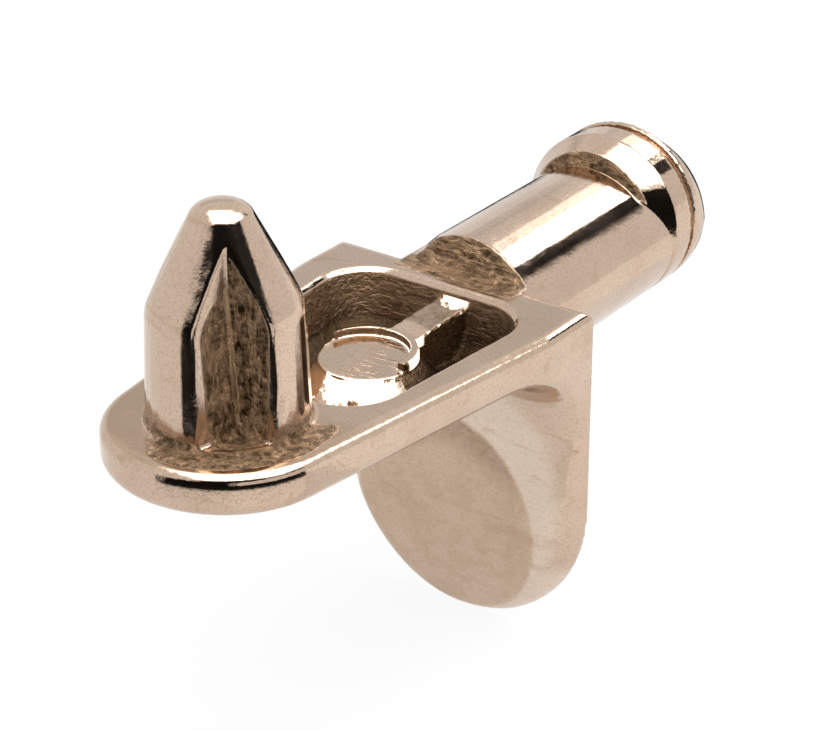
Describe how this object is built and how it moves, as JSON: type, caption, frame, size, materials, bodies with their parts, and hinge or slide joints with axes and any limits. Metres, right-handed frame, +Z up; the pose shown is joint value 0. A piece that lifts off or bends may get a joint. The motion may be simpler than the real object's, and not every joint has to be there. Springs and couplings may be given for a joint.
{
  "type": "shelf support pin",
  "caption": "Cast metal shelf support with a wall pin for the cabinet side, a short arm with an upright fluted peg, a hollow in its top and a rounded brace below.",
  "frame": {"origin": "on the wall pin's axis, in the plane of the cabinet side that the brace bears on", "axes": "+Y runs along the wall pin into the cabinet side, +Z is up, and the arm with its peg points to -Y"},
  "size_m": [0.0082, 0.023, 0.0159],
  "materials": {
    "nickel_plate": "bright nickel plate with a warm tone over a slightly mottled cast surface"
  },
  "bodies": {
    "root": {"support_casting": "nickel_plate"}
  },
  "joints": []
}
